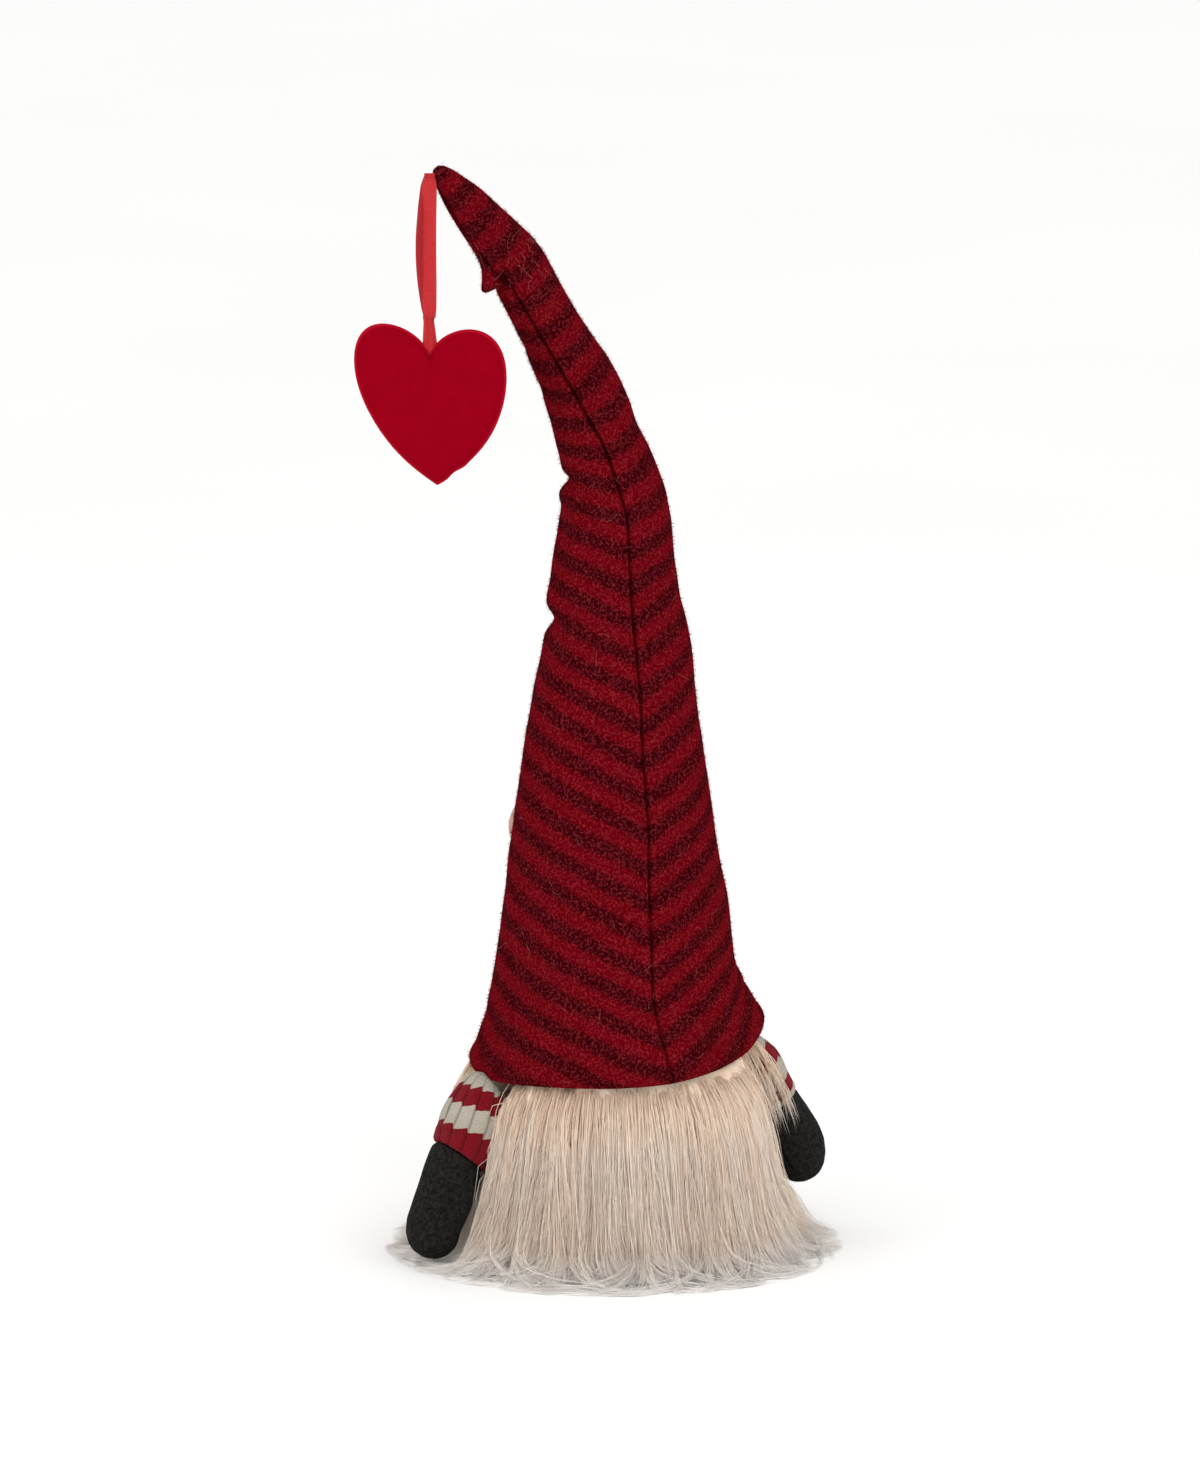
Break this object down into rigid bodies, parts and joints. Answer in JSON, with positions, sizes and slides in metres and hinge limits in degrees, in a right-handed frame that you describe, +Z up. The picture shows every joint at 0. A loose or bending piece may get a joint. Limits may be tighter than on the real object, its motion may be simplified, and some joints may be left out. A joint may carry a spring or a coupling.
{
  "type": "tomte gnome figurine",
  "caption": "Standing fabric gnome with a tall bendable striped hat, hanging felt heart, stuffed arms, long fur body and a battery light in its foot.",
  "frame": {"origin": "middle of the foot's flat underside", "axes": "+Z up; the face looks along -Y; +X is the gnome's left hand, the side that the hat's tip bends to"},
  "size_m": [0.2295, 0.196, 0.4973],
  "materials": {
    "hat_felt": "brushed striped wool felt, red and dark red",
    "heart_felt": "velvety crimson felt",
    "ribbon": "woven satin ribbon",
    "knit": "ribbed knit, red and cream bands",
    "mitten_felt": "heathered grey felt",
    "fur": "long straight pile",
    "nose_skin": "soft knitted skin",
    "backing": "plain woven backing",
    "filling": "polyester fibre filling",
    "frosted": "frosted",
    "white_plastic": "satin",
    "black_plastic": "satin",
    "steel": "plated",
    "cell_wrap": "printed sleeve, no lettering",
    "board": "green mask",
    "led": "clear warm",
    "wire_red": "insulated",
    "wire_black": "insulated"
  },
  "bodies": {
    "gnome": {"base_housing": "white_plastic", "base_cover": "white_plastic", "base_screw_1": "steel", "base_screw_2": "steel", "base_screw_3": "steel", "base_screw_4": "steel", "battery_1": "cell_wrap", "battery_2": "cell_wrap", "contact_spring_1": "steel", "contact_spring_2": "steel", "contact_plate_1": "steel", "contact_plate_2": "steel", "switch_body": "black_plastic", "circuit_board": "board", "wire_red": "wire_red", "wire_black": "wire_black", "led_1": "led", "led_2": "led", "led_3": "led", "body_shell": "frosted", "fur_backing": "backing", "fur_skirt": "fur", "beard": "fur", "nose": "nose_skin", "hat_cone": "hat_felt", "hat_stuffing_lower": "filling", "hat_wire_lower": "steel"},
    "hat_middle": {"hat_middle": "hat_felt", "hat_stuffing_middle": "filling", "hat_wire_middle": "steel"},
    "hat_tip": {"hat_tip": "hat_felt", "hat_stuffing_tip": "filling", "hat_wire_tip": "steel"},
    "ribbon": {"ribbon_left": "ribbon", "ribbon_right": "ribbon"},
    "heart": {"heart_front": "heart_felt", "heart_back": "heart_felt", "heart_stuffing": "filling", "ribbon_gather": "ribbon"},
    "left_arm": {"left_sleeve": "knit", "left_mitten": "mitten_felt"},
    "right_arm": {"right_sleeve": "knit", "right_mitten": "mitten_felt"},
    "door": {"battery_door": "white_plastic"},
    "switch": {"switch_knob": "black_plastic"}
  },
  "joints": [
    {"name": "hat_bend", "type": "hinge", "parent": "gnome", "child": "hat_middle", "pos_m": [0.001, 0, 0.34496], "axis": [0, 1, 0], "range_deg": [-20, 20]},
    {"name": "tip_bend", "type": "hinge", "parent": "hat_middle", "child": "hat_tip", "pos_m": [0.04175, 0, 0.44081], "axis": [0, 1, 0], "range_deg": [-35, 8]},
    {"name": "heart_swing", "type": "hinge", "parent": "hat_tip", "child": "ribbon", "pos_m": [0.0925, 0, 0.492], "axis": [0, 1, 0], "range_deg": [-40, 10]},
    {"name": "heart_twist", "type": "hinge", "parent": "ribbon", "child": "heart", "pos_m": [0.0925, 0, 0.4288], "axis": [0, 0, 1], "range_deg": [-90, 90]},
    {"name": "left_arm_lift", "type": "hinge", "parent": "gnome", "child": "left_arm", "pos_m": [0.0685, 0, 0.074], "axis": [0, -1, 0], "range_deg": [0, 50]},
    {"name": "right_arm_lift", "type": "hinge", "parent": "gnome", "child": "right_arm", "pos_m": [-0.063, 0, 0.086], "axis": [0, 1, 0], "range_deg": [0, 45]},
    {"name": "door_hinge", "type": "hinge", "parent": "gnome", "child": "door", "pos_m": [0, -0.036, 0.0007], "axis": [-1, 0, 0], "range_deg": [0, 95]},
    {"name": "switch_slide", "type": "slide", "parent": "gnome", "child": "switch", "axis": [1, 0, 0], "range_m": [0, 0.004]}
  ]
}
